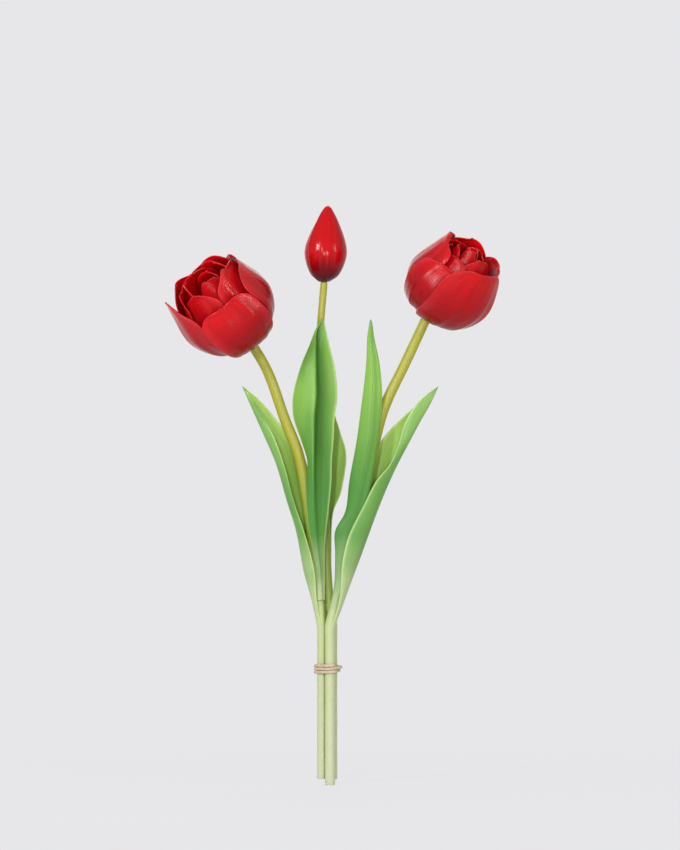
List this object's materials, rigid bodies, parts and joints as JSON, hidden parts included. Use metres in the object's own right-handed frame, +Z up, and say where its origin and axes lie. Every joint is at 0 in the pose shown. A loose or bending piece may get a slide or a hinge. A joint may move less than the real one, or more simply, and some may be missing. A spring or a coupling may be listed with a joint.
{
  "type": "artificial tulip bundle",
  "caption": "Artificial tulip bundle: open double heads and a closed bud on wired stems with channelled leaves, held by a wound rubber tie, for a vase.",
  "frame": {"origin": "centre of the front stem's flat cut end, the lowest point of the bundle", "axes": "+Z up along the straight part of the stems, +X towards the right tulip, -Y towards the viewer"},
  "size_m": [0.2296, 0.0799, 0.4017],
  "materials": {
    "petal": "soft moulded polyurethane, satin, finely veined",
    "bud_petal": "soft moulded polyurethane, semi-gloss, darker at the base",
    "leaf": "soft plastic, satin, with long fine veins, paler at the base",
    "stem": "soft plastic sleeve, satin",
    "stem_foot": "soft plastic sleeve, satin, pale at the cut end",
    "flower_base": "hard plastic, hidden inside the flower",
    "wire": "soft annealed wire",
    "tie": "thin natural rubber band, matt"
  },
  "bodies": {
    "shanks": {"left_stem_shank": "stem_foot", "left_stem_bend": "stem_foot", "left_stem_wire": "wire", "right_stem_shank": "stem_foot", "right_stem_bend": "stem_foot", "right_stem_wire": "wire", "bud_stem_shank": "stem_foot", "bud_stem_bend": "stem_foot", "bud_stem_wire": "wire"},
    "tie": {"stem_tie": "tie"},
    "left_tulip": {"left_stem": "stem"},
    "left_head": {"left_flower_base": "flower_base", "left_outer_petal_1": "petal", "left_outer_petal_2": "petal", "left_outer_petal_3": "petal", "left_outer_petal_4": "petal", "left_outer_petal_5": "petal", "left_middle_petal_1": "petal", "left_middle_petal_2": "petal", "left_middle_petal_3": "petal", "left_middle_petal_4": "petal", "left_middle_petal_5": "petal", "left_inner_petal_1": "petal", "left_inner_petal_2": "petal", "left_inner_petal_3": "petal"},
    "left_outer_leaf": {"left_outer_leaf": "leaf"},
    "left_inner_leaf": {"left_inner_leaf": "leaf"},
    "bud_tulip": {"bud_stem": "stem"},
    "bud_head": {"bud_flower_base": "flower_base", "bud_outer_petal_1": "bud_petal", "bud_outer_petal_2": "bud_petal", "bud_outer_petal_3": "bud_petal", "bud_inner_petal_1": "bud_petal", "bud_inner_petal_2": "bud_petal", "bud_inner_petal_3": "bud_petal"},
    "bud_leaf": {"bud_leaf": "leaf"},
    "right_tulip": {"right_stem": "stem"},
    "right_head": {"right_flower_base": "flower_base", "right_outer_petal_1": "petal", "right_outer_petal_2": "petal", "right_outer_petal_3": "petal", "right_outer_petal_4": "petal", "right_outer_petal_5": "petal", "right_middle_petal_1": "petal", "right_middle_petal_2": "petal", "right_middle_petal_3": "petal", "right_middle_petal_4": "petal", "right_middle_petal_5": "petal", "right_inner_petal_1": "petal", "right_inner_petal_2": "petal", "right_inner_petal_3": "petal"},
    "right_inner_leaf": {"right_inner_leaf": "leaf"},
    "right_outer_leaf": {"right_outer_leaf": "leaf"}
  },
  "joints": [
    {"name": "left_stem_bend", "type": "hinge", "parent": "shanks", "child": "left_tulip", "pos_m": [-0.0055, 0.00495, 0.096], "axis": [0, -1, 0], "range_deg": [0, 20], "deforming": ["left_stem_bend", "left_stem_wire"]},
    {"name": "right_stem_bend", "type": "hinge", "parent": "shanks", "child": "right_tulip", "pos_m": [0, 0, 0.096], "axis": [0, 1, 0], "range_deg": [0, 20], "deforming": ["right_stem_bend", "right_stem_wire"]},
    {"name": "bud_stem_bend", "type": "hinge", "parent": "shanks", "child": "bud_tulip", "pos_m": [0.00154, 0.00724, 0.096], "axis": [-1, 0, 0], "range_deg": [0, 15], "deforming": ["bud_stem_bend", "bud_stem_wire"]},
    {"name": "left_head_nod", "type": "hinge", "parent": "left_tulip", "child": "left_head", "pos_m": [-0.0573, -0.004, 0.3095], "axis": [0.7878, 0, 0.6159], "range_deg": [-15, 15]},
    {"name": "right_head_nod", "type": "hinge", "parent": "right_tulip", "child": "right_head", "pos_m": [0.0681, -0.004, 0.3258], "axis": [0.8386, 0, -0.5447], "range_deg": [-15, 15]},
    {"name": "bud_head_nod", "type": "hinge", "parent": "bud_tulip", "child": "bud_head", "pos_m": [-0.0042, 0.0105, 0.3465], "axis": [0.9981, 0, -0.061], "range_deg": [-15, 15]},
    {"name": "left_outer_leaf_bend", "type": "hinge", "parent": "left_tulip", "child": "left_outer_leaf", "pos_m": [-0.0101, 0.00495, 0.104], "axis": [0, -1, 0], "range_deg": [0, 20], "stiffness_Nm_per_rad": 0.05, "springref_deg": -3.44},
    {"name": "left_inner_leaf_bend", "type": "hinge", "parent": "left_tulip", "child": "left_inner_leaf", "pos_m": [-0.0056, 0, 0.127], "axis": [1, 0, 0], "range_deg": [0, 15], "stiffness_Nm_per_rad": 0.05, "springref_deg": -3.44},
    {"name": "bud_leaf_bend", "type": "hinge", "parent": "bud_tulip", "child": "bud_leaf", "pos_m": [-0.0012, 0.0125, 0.132], "axis": [-1, 0, 0], "range_deg": [0, 15], "stiffness_Nm_per_rad": 0.05, "springref_deg": -3.44},
    {"name": "right_inner_leaf_bend", "type": "hinge", "parent": "right_tulip", "child": "right_inner_leaf", "pos_m": [-0.0014, -0.0037, 0.118], "axis": [0.2, -0.9798, 0], "range_deg": [0, 8], "stiffness_Nm_per_rad": 0.05, "springref_deg": -3.44},
    {"name": "right_outer_leaf_bend", "type": "hinge", "parent": "right_tulip", "child": "right_outer_leaf", "pos_m": [0.0046, 0, 0.104], "axis": [0, 1, 0], "range_deg": [0, 20], "stiffness_Nm_per_rad": 0.05, "springref_deg": -3.44},
    {"name": "tie_slide", "type": "slide", "parent": "shanks", "child": "tie", "axis": [0, 0, 1], "range_m": [-0.07, 0]}
  ]
}
